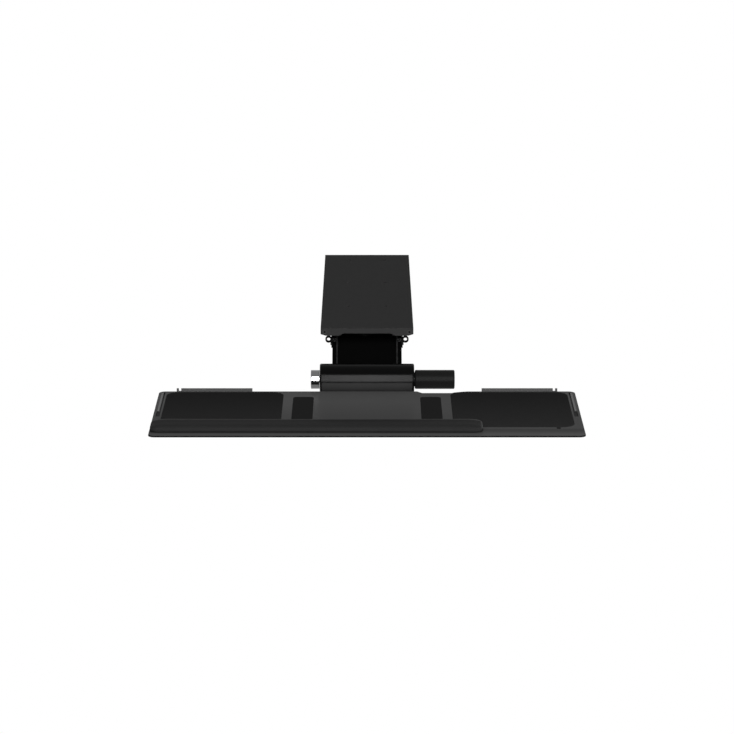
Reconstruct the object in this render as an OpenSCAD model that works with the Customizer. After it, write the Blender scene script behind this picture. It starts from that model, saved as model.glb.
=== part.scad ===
// Articulating keyboard tray that hangs from a track under a desk.
// Frame: +X right, +Y back under the desk, +Z up, millimetres.
// The origin lies on the swivel axis, on the desk's underside.

/* [Tray board] */
// Width of the board, left to right
board_w = 635; // [600:1:700]
// Depth of the board, front to back
board_d = 254; // [240:1:300]
// Thickness of the board
board_t = 5; // [4.5:0.5:8]
// Corner radius of the board seen from above
board_corner_r = 10; // [6:1:16]
// Rounding of the board's top edge
board_edge_r = 1; // [0.5:0.1:1.5]
// Chamfer along the board's rear bottom edge
board_chamfer = 2; // [1:0.1:2.5]
// Width of the bevel under the board's front and side edges
bevel_w = 11; // [9:0.5:14]
// Height of that bevel
bevel_h = 2.2; // [1:0.1:2.2]
// Depth of the finger cut-out beside the dial
cutout_d = 11; // [6:0.5:13]
// Distance from the barrel to the cut-out
cutout_past_barrel = 1.8; // [0:0.1:4]
// Width of the cut-out's curve next to the barrel
cutout_run_in = 11.4; // [8:0.2:20]
// Width of the cut-out's slow curve past the dial
cutout_run_out = 28; // [20:1:40]
// How far the cut-out reaches past the dial's end
cutout_past_dial = 23; // [10:1:30]

/* [Pads and strips] */
// Width of a mouse pad
pad_w = 178; // [150:1:180]
// Gap between a pad and the board's side edge
pad_edge = 12.7; // [12:0.1:16]
// Gap between a pad and the board's rear edge
pad_rear = 5; // [4:0.5:10]
// Gap between a pad and the board's front edge
pad_front = 45.6; // [40:0.2:60]
// Gap between the right pad and the finger cut-out
pad_cutout = 1.5; // [1:0.1:5]
// Corner radius of a pad
pad_corner_r = 20; // [6:1:24]
// Depth of the pad's recess in the board
pad_recess = 1.5; // [1:0.1:2]
// Height by which pads and strips stand above the deck
inlay_proud = 0.2; // [0.1:0.05:0.4]
// Gap around each inlay in its recess
inlay_gap = 0.15; // [0.05:0.05:0.3]
// Width of a grip strip
strip_w = 31.2; // [20:0.1:36]
// Gap between a grip strip and its pad
strip_gap = 15; // [10:0.5:18]
// Gap between a grip strip and the board's rear edge
strip_rear = 34; // [20:1:50]
// Corner radius of a grip strip
strip_corner_r = 6; // [1:0.5:8]

/* [Rear stops and side rails] */
// Length of a rear stop
stop_len = 115.7; // [80:0.5:130]
// Gap between a rear stop and the board's side edge
stop_edge = 26.6; // [20:0.5:40]
// Thickness of a rear stop
stop_t = 3; // [2.5:0.5:4]
// Height of a rear stop above the deck
stop_rise = 4; // [3:0.5:8]
// Depth of the stop's foot under the board
stop_foot_d = 14; // [12:0.5:18]
// Thickness of the stop's foot
stop_foot_t = 2; // [1.5:0.5:3]
// Width of the cord notch in a stop
notch_w = 3.6; // [3:0.1:6]
// Width of the post outside the notch
notch_post = 3.3; // [2.5:0.1:6]
// Width of the groove along each side of the deck
groove_w = 5.8; // [4.5:0.1:6.5]
// Gap between a groove and the board's side edge
groove_edge = 4.2; // [3.5:0.1:5]
// Gap between a groove and the board's rear edge
groove_rear = 8; // [6:0.5:15]
// Length of a groove
groove_len = 140; // [120:1:160]
// Depth of a groove
groove_depth = 2; // [1:0.1:2.5]
// Width of the rail in the groove
rail_w = 3.3; // [2:0.1:4]
// Length of the rail in the groove
rail_len = 103; // [60:1:110]
// How far the rail's top lies below the deck
rail_below = 0.3; // [0.1:0.1:0.6]

/* [Palm rest] */
// Length of the palm rest
palm_len = 486.3; // [440:0.1:500]
// Depth of the palm rest
palm_d = 49.8; // [48.6:0.1:56]
// Height of the palm rest's crown above the deck
palm_h = 10; // [8:0.5:18]
// Gap between the palm rest and the board's front edge
palm_front = 13.4; // [12:0.1:20]
// Gap between the palm rest and the board's left edge
palm_side = 0.3; // [0:0.1:10]
// Corner radius of the palm rest seen from above
palm_corner_r = 12; // [8:1:18]
// Thickness of the palm rest's base
palm_base_t = 1.2; // [1:0.1:3]
// Inset of the base inside the cushion's outline
palm_base_inset = 0.8; // [0.6:0.1:3]
// How far the cushion's long sides draw in at mid-length
palm_draw = 0.8; // [0.2:0.1:2]
// Radius of the palm rest's pegs
peg_r = 3.5; // [2:0.1:3.8]
// Distance from the palm rest's ends to its pegs
peg_inset = 37.2; // [25:0.1:60]
// How far the pegs sit behind the palm rest's middle
peg_back = 3; // [0:0.5:6]
// Clearance between a peg and its hole
peg_gap = 0.1; // [0.05:0.05:0.2]

/* [Barrel and dial] */
// Width of the barrel between its end faces
barrel_w = 144.6; // [140:0.2:150]
// Radius of the barrel
barrel_r = 24.3; // [24:0.1:25]
// Wall of the barrel's shells
barrel_wall = 2.2; // [2:0.1:2.4]
// Thickness of the barrel's end discs
end_t = 2.5; // [2.4:0.1:4]
// Rounding of the end discs' rims
end_round = 2.2; // [1:0.1:2.3]
// Distance from the board's rear edge back to the dial axis
axis_behind = 22; // [21.5:0.5:30]
// Height of the dial axis above the deck
axis_above = 13; // [12.5:0.5:16]
// Length of the dial's grip
dial_len = 61; // [40:0.2:70]
// Radius of the dial
dial_r = 14.6; // [12:0.1:16]
// Gap between the barrel and the dial's grip
dial_gap = 1; // [0.8:0.1:3]
// Rounding of the dial's ends
dial_round = 2; // [1:0.1:4]
// Radius of the dial's neck
dial_neck_r = 11; // [8:0.1:12]
// Length of the bright cap on the shaft's other end
cap_len = 13.2; // [8:0.2:20]
// Radius of the bright cap
cap_r = 14.5; // [12:0.1:16]
// Rounding of the bright cap's rim
cap_round = 0.8; // [0.3:0.1:2]
// Radius of the dial shaft
shaft_r = 5; // [4:0.1:5.2]
// Radius of the shaft's screw thread
thread_r = 6; // [5.6:0.1:6.4]
// Outer radius of the dial bushes
bush_r = 8; // [7:0.1:9]

/* [Tilt drive] */
// Outer radius of the travelling nut
nut_r = 11; // [9.5:0.1:11.2]
// Length of the travelling nut
nut_len = 14; // [8:0.5:14]
// Radius of the nut's drive pin
drive_pin_r = 2.5; // [2:0.1:3]
// Travel of the nut for each degree of tilt
nut_per_deg = 0.8; // [0.5:0.05:0.9]
// Steepest tilt with the front edge up, in degrees
tilt_up = 10; // [0:1:10]
// Steepest tilt with the front edge down, in degrees
tilt_down = 15; // [0:1:15]
// Wall of the slotted drum
drum_wall = 3.5; // [2.5:0.1:3.5]
// Half length of the slotted drum
drum_half = 22; // [22:0.5:30]

/* [Lift arm] */
// Outer width of the arm
arm_w = 108; // [100:0.5:110]
// Sheet thickness of the arm
arm_t = 2.5; // [2:0.1:3]
// Height of the arm's section
arm_h = 20; // [18:0.5:22]
// Width of the raised lips along the arm's top
arm_lip = 8.5; // [6:0.1:11]
// Width of the rib along each lip's inner edge
arm_rib_w = 2.4; // [1:0.1:4]
// Height of that rib above the lip
arm_rib_h = 0.6; // [0.2:0.1:1]
// Depth of the field between the lips
arm_field = 1.2; // [0.5:0.1:1.5]
// Length of the arm's level stretch from the rear pivot
arm_rear_len = 80; // [74:1:90]
// Drop of the arm's sloping stretch
arm_drop = 41; // [36:1:46]
// Length of the arm's level stretch to the front pivot
arm_front_len = 23; // [22:1:30]
// Radius of the two pivot pins
pivot_r = 5; // [4:0.1:5]
// Wall of the arm's bushes
arm_bush_wall = 1.5; // [1:0.1:2]
// Distance from the arm's pivots down to the levelling link's
link_offset = 15; // [14.5:0.5:17]
// Height of the levelling link's section
link_h = 11; // [9:0.5:11]
// Sheet thickness of the levelling link
link_t = 2.5; // [2:0.1:2.8]
// Radius of the link's pins
link_pin_r = 3; // [2.5:0.1:3.5]
// Radius of a torsion spring at the middle of its wire
spring_r = 10; // [8.5:0.1:10.5]
// Radius of the spring's wire
wire_r = 1.25; // [1:0.05:1.4]
// Number of turns in a spring
spring_turns = 8; // [5:1:8]
// Spacing of the spring's turns
spring_pitch = 3.2; // [3:0.1:3.4]

/* [Cable guides] */
// Thickness of a guide's plate
guide_t = 1.8; // [1.5:0.1:3]
// Length of a guide's plate
guide_len = 26; // [22:1:30]
// Outer radius of a guide's loop
loop_r = 5.2; // [4.5:0.1:7]
// Bore radius of a guide's loop
loop_bore_r = 2.8; // [2:0.1:3]
// Length of a guide's loop
loop_len = 5; // [4:0.5:8]
// Height of a loop above the arm's rear pivot
loop_rise = 5.5; // [0:0.5:6]
// How far a guide's plate ends above the arm's bottom edge
guide_lift = 1; // [0:0.5:3]

/* [Swivel bracket] */
// Sheet thickness of the bracket
bracket_t = 3; // [2.5:0.1:3.5]
// Gap between the track and the bracket
bracket_gap = 2.5; // [1.5:0.1:4]
// Distance from the swivel axis to the bracket's front edge
bracket_front = 38; // [36:1:46]
// Distance from the swivel axis to the bracket's rear edge
bracket_rear = 47; // [42:1:54]
// Distance from the swivel axis back to the arm's rear pivot
pivot_back = 27; // [25:1:30]
// Distance from the bracket's plate down to the arm's rear pivot
pivot_drop = 14.5; // [14:0.5:18]
// Radius of the bracket's ears
ear_r = 12; // [10:0.5:13]
// Thickness of the friction washers beside the arm
washer_t = 0.9; // [0.6:0.1:1.2]

/* [Carriage] */
// Length of the carriage
carriage_len = 110; // [90:1:130]
// Thickness of the carriage's plate
carriage_t = 3; // [2.5:0.1:3.5]
// Half width of the carriage's plate
carriage_half = 60; // [55:0.5:61]
// Length of a glide block
glide_len = 25; // [15:1:30]
// Running gap between the glides and the track
glide_gap = 0.2; // [0.1:0.05:0.3]
// Radius of the swivel disc
disc_r = 35; // [25:0.5:37]
// Radius of the swivel stud
stud_r = 6; // [5:0.1:7]

/* [Track] */
// Length of the track
track_len = 540; // [440:5:600]
// Width of the track
track_w = 144; // [142:0.5:150]
// Height of the track
track_h = 12; // [11.6:0.1:13]
// Sheet thickness of the track
track_t = 2; // [1.5:0.1:2.2]
// Width of the slot between the track's lips
slot_w = 80; // [76:0.5:84]
// Width of the slanted corner below each side wall
slant_w = 8; // [5:0.5:8.5]
// Height of the slanted corner below each side wall
slant_h = 2.5; // [2.4:0.1:4]
// Distance from the swivel axis to the track's front end
track_front = 85; // [80:1:100]
// Thickness of the end caps
end_cap_t = 3; // [2:0.5:5]
// Height of the end caps between the lips
end_cap_mid_h = 7.9; // [7:0.1:11]
// How far the end caps' lips end above the track's
end_cap_lift = 0.2; // [0.2:0.1:1.5]
// Half width of the end caps' slope between lip and middle
end_cap_slope = 4; // [1:0.5:6]
// Length of the end caps' plugs
plug_len = 8; // [5:0.5:10]
// Length of the rubber bumpers
bumper_len = 12; // [6:0.5:14]
// Radius of the desk screws' holes
desk_hole_r = 2.75; // [2:0.05:3.5]
// Spacing of the desk screws across the track
desk_hole_x = 60; // [40:1:70]
// Distance from the outer desk screws to the carriage's ends of travel
desk_hole_inset = 20; // [10:1:40]

/* [Mounting plate] */
// How far the plate under the board reaches past the saddle's flange on each side
plate_margin = 13.5; // [13:0.5:30]
// Depth of the plate
plate_d = 140; // [110:1:160]
// Thickness of the plate
plate_t = 3; // [2:0.1:4]
// Corner radius of the plate
plate_corner_r = 8; // [4:1:14]
// Thickness of the saddle's flange
flange_t = 4; // [3:0.1:5]

/* [Hidden] */
$fn = 64;
// A cut reaches this far past the faces it goes through
cut = 1;
// Running clearances: on a pin's radius, between moving curved shells and between flat faces
pin_gap = 0.05;
shell_gap = 0.3;
face_gap = 0.1;

// Colours
deck_grey = [0.26, 0.26, 0.26];
pad_black = [0.13, 0.13, 0.13];
rest_black = [0.17, 0.17, 0.17];
stop_grey = [0.31, 0.31, 0.31];
rail_grey = [0.38, 0.38, 0.38];
shell_black = [0.1, 0.1, 0.1];
arm_black = [0.06, 0.06, 0.06];
cap_grey = [0.2, 0.2, 0.2];
steel = [0.55, 0.56, 0.57];
chrome = [0.8, 0.8, 0.82];
brass = [0.72, 0.6, 0.35];
nylon = [0.85, 0.84, 0.8];
rubber = [0.08, 0.08, 0.08];

// Heights from the desk's underside down
plate_gap = 2.7;
carriage_top = -track_t - plate_gap;
carriage_bottom = carriage_top - carriage_t;
bracket_top = -track_h - bracket_gap;
bracket_bottom = bracket_top - bracket_t;

// Pivots in the side view, each [y, z]
rear_pivot = [pivot_back, bracket_bottom - pivot_drop];
bend_top = rear_pivot - [arm_rear_len, 0];
bend_bottom = bend_top - [arm_drop, arm_drop];
front_pivot = bend_bottom - [arm_front_len, 0];
arm_corners = [rear_pivot, bend_top, bend_bottom, front_pivot];
bend_r = 15;
bend_steps = 6;
arm_path = concat([rear_pivot], bend(arm_corners, 1), bend(arm_corners, 2), [front_pivot]);
link_drop = [0, -link_offset];
link_path = [for (p = arm_path) p + link_drop];
head_reach = 36;
head_rise = 8;
axis = front_pivot + [-head_reach, head_rise];

// The tray's planes
deck_z = axis[1] - axis_above;
board_bottom = deck_z - board_t;
rear_y = axis[0] - axis_behind;
front_y = rear_y - board_d;
side_x = board_w / 2;
inlay_top = deck_z + inlay_proud;

// Widths from the middle out: link, bracket ears, washers, arm
arm_half = arm_w / 2;
arm_inside = arm_half - arm_t;
boss_step = 5;
boss_side = 3.5;
boss_r = 2.9;
boss_h = 1.2;
boss_dip_r = 1.6;
boss_dip = 0.8;
ear_outside = arm_inside - washer_t - face_gap;
ear_inside = ear_outside - bracket_t;
link_side_gap = 1;
link_outside = ear_inside - link_side_gap;
link_inside = link_outside - link_t;
pin_past_arm = 3.2;
clip_t = 1.2;
clip_rim = 3.5;
clip_gap = 0.3;
arm_bush_r = pivot_r + pin_gap + arm_bush_wall;

// The barrel's shells: angles run from the rear over the top to the front
barrel_half = barrel_w / 2;
shell_half = barrel_half - end_t;
inner_r = barrel_r - barrel_wall;
saddle_r = inner_r - shell_gap;
saddle_wall = 2.5;
cover_rear = 17;
cover_front = 177;
casting_end = -70;
saddle_tuck = 3;
saddle_start = cover_front - tilt_down - saddle_tuck;
saddle_end = 255;
tongue_in = 5;
tongue_out = 40;
tongue_t = 2.3;
tongue_gap = 0.15;
cover_screw_angle = 29;
cover_screw_x = 30;
cover_screw_cut = 2 * (barrel_wall + tongue_t + tongue_gap + 1);
screw_r = 1.5;
screw_head_r = 2.75;
screw_head_h = 1.6;
// A cross recess, in shares of its screw head's radius
recess_len = 1.2;
recess_w = 0.3;

// Mechanism inside the barrel
cheek_in = 40;
cheek_out = 46;
cheek_r = saddle_r - saddle_wall - 1;
bush_start = 38;
saddle_ear_in = 50;
saddle_ear_out = 54;
saddle_ear_r = bush_r + 4;
thread_half = drum_half + 2;
drum_in = nut_r + 1;
drum_out = drum_in + drum_wall;
guide_in = drum_out + 1;
drive_pin_end = guide_in + 3.5;
pin_slot_gap = 0.1;
drum_slot_gap = 0.6;
nut_back = tilt_down * nut_per_deg;
nut_ahead = tilt_up * nut_per_deg;
tilt_span = tilt_up + tilt_down;
// Rise of the drum's slot for each degree, at the middle of its wall
slot_per_deg = (drum_in + drum_out) / 2 * PI / 180;
slot_lean = atan(slot_per_deg / nut_per_deg);
slot_run = tilt_span * norm([nut_per_deg, slot_per_deg]) + 2 * drive_pin_r + 2 * drum_slot_gap;
slot_mid = (tilt_up - tilt_down) / 2;

// Saddle flange, plate and their fasteners
plate_back = 14;
plate_y1 = rear_y - plate_back;
plate_y0 = plate_y1 - plate_d;
plate_bottom = board_bottom - plate_t;
flange_y1 = axis[0] - 4;
flange_overlap = 49;
flange_y0 = plate_y1 - flange_overlap;
saddle_end_gap = 0.4;
saddle_half = shell_half - saddle_end_gap;
plate_w = 2 * (saddle_half + plate_margin);
bolt_r = 2.5;
bolt_head_r = 4.5;
bolt_head_h = 3;
bolt_x = 50;
bolt_rear = 12;
bolt_spacing = 26;
bolt_ys = [plate_y1 - bolt_rear, plate_y1 - bolt_rear - bolt_spacing];
plate_screw_r = 2;
plate_screw_head_r = 4;
plate_screw_head_h = 2.2;
plate_screw_bite = 3;
plate_screw_x = plate_w / 2 - plate_corner_r;
plate_screw_ys = [plate_y1 - plate_corner_r, plate_y0 + plate_corner_r];

// Inlays on the deck
pad_outer = side_x - pad_edge;
pad_inner = pad_outer - pad_w;
pad_y1 = rear_y - pad_rear;
pad_y0 = front_y + pad_front;
strip_outer = pad_inner - strip_gap;
strip_inner = strip_outer - strip_w;
strip_y1 = rear_y - strip_rear;
groove_outer = side_x - groove_edge;
groove_inner = groove_outer - groove_w;
groove_y1 = rear_y - groove_rear;
groove_y0 = groove_y1 - groove_len;
stop_outer = side_x - stop_edge;
stop_inner = stop_outer - stop_len;
stop_screw_inset = 20;
stop_screw_xs = [stop_inner + stop_screw_inset, stop_outer - stop_screw_inset];
stop_screw_y = rear_y - stop_foot_d / 2;
stop_screw_bite = 3;
cutout_x0 = barrel_half + cutout_past_barrel;
cutout_x1 = barrel_half + dial_gap + dial_len + cutout_past_dial;

// Palm rest
palm_x0 = -side_x + palm_side;
palm_x1 = palm_x0 + palm_len;
palm_y0 = front_y + palm_front;
palm_y1 = palm_y0 + palm_d;
palm_mid = [(palm_x0 + palm_x1) / 2, (palm_y0 + palm_y1) / 2];
peg_xs = [palm_x0 + peg_inset, palm_x1 - peg_inset];
peg_y = palm_mid[1] + peg_back;
peg_len = board_t - 0.5;
base_top = inlay_top + palm_base_t;

// Track and carriage along the desk
track_half = track_w / 2;
slot_half = slot_w / 2;
track_y0 = -track_front;
track_y1 = track_y0 + track_len;
wall_h = track_h - slant_h;
// The slanted corner's inner face, one sheet thickness inside the outer one
slant_step = track_t * norm([slant_w, slant_h]) / slant_w;
inner_slant_z = -wall_h + slant_step - track_t * slant_h / slant_w;
inner_slant_x = track_half - (track_h - track_t - wall_h + slant_step) * slant_w / slant_h;
track_side = [
  [track_half, 0], [track_half, -wall_h], [track_half - slant_w, -track_h], [slot_half, -track_h],
  [slot_half, -track_h + track_t], [inner_slant_x, -track_h + track_t],
  [track_half - track_t, inner_slant_z], [track_half - track_t, -track_t]
];
cap_below_desk = 0.2;
dimple_r = 1.8;
dimple_depth = 1;
dimple_side = 6.2;
dimple_drop = 6;
cap_side = [
  [track_half, -cap_below_desk], [track_half, -wall_h + end_cap_lift],
  [track_half - slant_w, -track_h + end_cap_lift], [slot_half + end_cap_slope, -track_h + end_cap_lift],
  [slot_half - end_cap_slope, -end_cap_mid_h]
];
plug_in = slot_half + 4;
plug_out = inner_slant_x - 1;
bumper_inset = 1.5;
stop_gap = 0.2;
carriage_y0 = track_y0 + plug_len + bumper_len + stop_gap;
carriage_y1 = carriage_y0 + carriage_len;
glide_ys = [carriage_y0, carriage_y1 - glide_len];
free_y1 = track_y1 - plug_len - bumper_len;
desk_hole_mid = (carriage_y1 + free_y1) / 2;
desk_hole_y = (free_y1 - carriage_y1) / 2 - desk_hole_inset;
stud_head_r = 12;
stud_head_h = 2.2;
swivel_washer_t = 1.5;
swivel_washer_r = 16;
swivel_nut_h = 6;
swivel_nut_r = 10.4;
washer_top = bracket_bottom - face_gap;
nut_top = washer_top - swivel_washer_t;
stud_end = nut_top - swivel_nut_h - 1.5;

// Cable guides
guide_y0 = bend_top[0] + 1;
guide_x = arm_half + guide_t;
loop_bite = 1;
loop_x = guide_x + loop_r - loop_bite;
guide_corner_r = 5;
guide_screw_r = 1.5;
guide_screw_inset = 4;
guide_screw_gap = 8;
guide_screw_ys = [guide_y0 + guide_len - guide_screw_inset - guide_screw_gap,
  guide_y0 + guide_len - guide_screw_inset];
guide_screw_z = rear_pivot[1] - guide_screw_inset;

// Springs on the rear pivot pin
spring_start = 12;
spring_steps = 8;
spring_sides = 6;
arm_web_rear = bend_top[0] + 26;
leg_reach = 8;
leg_gap = 0.8;
leg_front = [arm_web_rear - leg_reach, rear_pivot[1] + arm_h / 2 - arm_t - wire_r - leg_gap];
leg_rear = [bracket_rear - 4, bracket_bottom - wire_r - face_gap];
arm_web_front = front_pivot[0] + 18;
link_web_rear = rear_pivot[0] - 22;
link_web_front = front_pivot[0] + 20;

// Shared functions

function unit(v) = v / norm(v);
function backwards(list) = [for (i = [len(list) - 1:-1:0]) list[i]];
function turned_by(v, a) = [v[0] * cos(a) - v[1] * sin(a), v[0] * sin(a) + v[1] * cos(a)];

// Points of the round bend at a path's corner
function bend(corners, i) =
  let (into = unit(corners[i] - corners[i - 1]), out = unit(corners[i + 1] - corners[i]),
    turn = atan2(cross(into, out), into * out),
    start = corners[i] - bend_r * tan(abs(turn) / 2) * into,
    arm = bend_r * sign(turn) * [into[1], -into[0]])
  [for (k = [0:bend_steps]) start - arm + turned_by(arm, turn * k / bend_steps)];

// A path's heading at one of its points, and the path moved sideways by d
function heading(path, i) =
  unit(path[min(i + 1, len(path) - 1)] - path[min(i, len(path) - 2)]);
function offset_point(path, i, d) =
  let (into = heading(path, max(i - 1, 0)), mid = unit(into + heading(path, i)))
  path[i] + d / (into * mid) * [mid[1], -mid[0]];
function offset_path(path, d) = [for (i = [0:len(path) - 1]) offset_point(path, i, d)];

// Shared shapes

// Extrudes a side view [y, z] from x0 to x1
module span_x(x0, x1) {
  translate([x0, 0, 0])
    rotate([90, 0, 90])
      linear_extrude(x1 - x0) children();
}

// Extrudes a front view [x, z] from y0 to y1
module span_y(y0, y1) {
  translate([0, y1, 0])
    rotate([90, 0, 0])
      linear_extrude(y1 - y0) children();
}

// Extrudes a plan [x, y] from z0 to z1
module span_z(z0, z1) {
  translate([0, 0, z0]) linear_extrude(z1 - z0) children();
}

module both_sides() {
  children();
  mirror([1, 0, 0]) children();
}

// A round bar along X at a side-view point
module bar_x(at, r, x0, x1) {
  translate([x0, at[0], at[1]])
    rotate([0, 90, 0])
      cylinder(r = r, h = x1 - x0);
}

// A ring along X at a side-view point
module ring_x(at, r_in, r_out, x0, x1) {
  difference() {
    bar_x(at, r_out, x0, x1);
    bar_x(at, r_in, x0 - cut, x1 + cut);
  }
}

// Turns a profile [radius, x] about the dial axis
module turned() {
  translate([0, axis[0], axis[1]])
    rotate([0, 90, 0])
      rotate_extrude($fn = 96) children();
}

// A turned bar's half profile, from the centre line out, with rounded rims
module rounded_bar(r, x0, x1, round_low, round_high) {
  square_x0 = x0 + round_low;
  square_x1 = x1 - round_high;
  translate([0, square_x0]) square([r, square_x1 - square_x0]);
  if (round_low > 0) {
    translate([0, x0]) square([r - round_low, round_low + 0.01]);
    translate([r - round_low, square_x0]) intersection() {
      circle(round_low);
      translate([0, -round_low]) square(round_low);
    }
  }
  if (round_high > 0) {
    translate([0, square_x1 - 0.01]) square([r - round_high, round_high + 0.01]);
    translate([r - round_high, square_x1]) intersection() {
      circle(round_high);
      square(round_high);
    }
  }
}

// A rectangle from x0, y0 to x1, y1 with round corners
module round_rect(x0, x1, y0, y1, r) {
  translate([x0 + r, y0]) square([x1 - x0 - 2 * r, y1 - y0]);
  translate([x0, y0 + r]) square([x1 - x0, y1 - y0 - 2 * r]);
  for (x = [x0 + r, x1 - r], y = [y0 + r, y1 - r]) {
    translate([x, y]) circle(r);
  }
}

// A sector of the side view about the dial axis
module sector(r, a0, a1) {
  steps = ceil((a1 - a0) / 30);
  far = 2 * r;
  polygon(concat([axis], [for (i = [0:steps])
    axis + far * [cos(a0 + (a1 - a0) * i / steps), sin(a0 + (a1 - a0) * i / steps)]]));
}

// A curved wall of the barrel in the side view
module arc_wall(r_in, r_out, a0, a1) {
  intersection() {
    difference() {
      translate(axis) circle(r_out, $fn = 96);
      if (r_in > 0) {
        translate(axis) circle(r_in, $fn = 96);
      }
    }
    sector(r_out, a0, a1);
  }
}

// A band along a side-view path, from one offset above it to another
module path_band(path, low, high) {
  polygon(concat(offset_path(path, high), backwards(offset_path(path, low))));
}

// A strip of height h along a path, with round ends
module path_strip(path, h) {
  path_band(path, -h / 2, h / 2);
  for (p = [path[0], path[len(path) - 1]]) {
    translate(p) circle(h / 2);
  }
}

// The stretch of a side view that lies from y0 to y1
module side_clip(y0, y1) {
  reach = 2 * arm_drop + 2 * link_offset;
  intersection() {
    children();
    translate([y0, front_pivot[1] - reach]) square([y1 - y0, arm_drop + 2 * reach]);
  }
}

// A pan-head screw whose head stands on the z = 0 plane and whose shank goes down
module pan_screw(r, len, head_r, head_h) {
  translate([0, 0, -len]) cylinder(r = r, h = len + 0.1);
  difference() {
    cylinder(r = head_r, h = head_h);
    for (turn = [0, 90]) {
      translate([0, 0, head_h])
        rotate(turn) cube([recess_len * head_r, recess_w * head_r, head_h], center = true);
    }
  }
}

// The two halves of a symmetric outline
function mirrored(points) = [for (i = [len(points) - 1:-1:0]) [-points[i][0], points[i][1]]];

// Track

module track_channel() {
  color(arm_black) difference() {
    span_y(track_y0, track_y1) polygon(concat(track_side, mirrored(track_side)));
    for (x = [-1, 1], y = [-1:1]) {
      translate([x * desk_hole_x / 2, desk_hole_mid + y * desk_hole_y, -track_t - cut])
        cylinder(r = desk_hole_r, h = track_t + 2 * cut);
    }
  }
}

// A moulded cap whose plate lies against the track's end at y, towards dir
module end_cap(y, dir) {
  plate = [y, y + dir * end_cap_t];
  plug = [y, y - dir * plug_len];
  dimple = [y + dir * (end_cap_t - dimple_depth), y + dir * (end_cap_t + cut)];
  color(cap_grey) {
    difference() {
      span_y(min(plate), max(plate)) polygon(concat(cap_side, mirrored(cap_side)));
      both_sides()
        span_y(min(dimple), max(dimple))
          translate([track_half - dimple_side, -dimple_drop]) circle(dimple_r);
    }
    both_sides()
      span_y(min(plug), max(plug))
        translate([plug_in, -track_h + track_t + face_gap])
          square([plug_out - plug_in, track_h - 2 * track_t - 2 * face_gap]);
  }
}

module front_end_cap() {
  end_cap(track_y0, -1);
}

module rear_end_cap() {
  end_cap(track_y1, 1);
}

// Rubber blocks on an end cap's plugs
module bumpers(y0) {
  height = track_h - 2 * track_t - 2 * bumper_inset;
  color(rubber)
    both_sides()
      span_y(y0, y0 + bumper_len)
        translate([plug_in + bumper_inset, -track_h + track_t + bumper_inset])
          square([plug_out - plug_in - 2 * bumper_inset, height]);
}

module front_bumpers() {
  bumpers(track_y0 + plug_len);
}

module rear_bumpers() {
  bumpers(track_y1 - plug_len - bumper_len);
}

// Carriage

module carriage_plate() {
  color(steel) difference() {
    span_z(carriage_bottom, carriage_top)
      round_rect(-carriage_half, carriage_half, carriage_y0, carriage_y1, 4);
    translate([0, 0, carriage_bottom - cut]) cylinder(r = stud_r, h = carriage_t + 2 * cut);
  }
}

module glide_blocks() {
  top = -track_t - glide_gap;
  bottom = -track_h + track_t + glide_gap;
  inner = carriage_half - 14;
  outer = track_half - track_t - glide_gap;
  slant_x = inner_slant_x - glide_gap;
  color(nylon)
    both_sides()
      for (y = glide_ys) {
        difference() {
          span_y(y, y + glide_len)
            polygon([[inner, top], [outer, top], [outer, inner_slant_z + glide_gap],
              [slant_x, bottom], [inner, bottom]]);
          span_z(carriage_bottom, carriage_top)
            round_rect(-carriage_half, carriage_half, carriage_y0, carriage_y1, 4);
        }
      }
}

module swivel_disc() {
  color(nylon) difference() {
    translate([0, 0, bracket_top + face_gap])
      cylinder(r = disc_r, h = carriage_bottom - bracket_top - face_gap);
    translate([0, 0, bracket_top - cut]) cylinder(r = stud_r + pin_gap, h = track_h);
  }
}

module swivel_stud() {
  color(steel) {
    translate([0, 0, carriage_top]) cylinder(r = stud_head_r, h = stud_head_h);
    translate([0, 0, stud_end]) cylinder(r = stud_r, h = carriage_top - stud_end);
  }
}

module swivel_washer() {
  color(steel) difference() {
    translate([0, 0, nut_top]) cylinder(r = swivel_washer_r, h = swivel_washer_t);
    translate([0, 0, nut_top - cut])
      cylinder(r = stud_r + pin_gap, h = swivel_washer_t + 2 * cut);
  }
}

module swivel_nut() {
  color(steel) difference() {
    translate([0, 0, nut_top - swivel_nut_h]) cylinder(r = swivel_nut_r, h = swivel_nut_h, $fn = 6);
    translate([0, 0, nut_top - swivel_nut_h - cut]) cylinder(r = stud_r, h = swivel_nut_h + 2 * cut);
  }
}

// Swivel bracket and rear pivots

module swivel_bracket() {
  link_pivot = rear_pivot + link_drop;
  color(arm_black) difference() {
    union() {
      span_z(bracket_bottom, bracket_top)
        round_rect(-ear_outside, ear_outside, -bracket_front, bracket_rear, 5);
      both_sides()
        span_x(ear_inside, ear_outside) {
          translate([rear_pivot[0] - ear_r, link_pivot[1]])
            square([2 * ear_r, bracket_top - link_pivot[1]]);
          translate(link_pivot) circle(ear_r);
        }
    }
    translate([0, 0, bracket_bottom - cut]) cylinder(r = stud_r + pin_gap, h = bracket_t + 2 * cut);
    bar_x(rear_pivot, pivot_r, -arm_half, arm_half);
    bar_x(link_pivot, link_pin_r, -arm_half, arm_half);
  }
}

module pivot_pin(at) {
  reach = arm_half + pin_past_arm;
  color(steel) bar_x(at, pivot_r, -reach, reach);
}

module pivot_clips(at) {
  x = arm_half + clip_gap;
  color(steel)
    both_sides() ring_x(at, pivot_r, pivot_r + clip_rim, x, x + clip_t);
}

module friction_washers(at) {
  color(nylon)
    both_sides()
      ring_x(at, pivot_r, arm_h / 2 + 1, ear_outside, ear_outside + washer_t);
}

module rear_pivot_pin() {
  pivot_pin(rear_pivot);
}

module rear_pivot_clips() {
  pivot_clips(rear_pivot);
}

module rear_friction_washers() {
  friction_washers(rear_pivot);
}

module link_rear_pin() {
  color(steel) bar_x(rear_pivot + link_drop, link_pin_r, -ear_outside, ear_outside);
}

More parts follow.
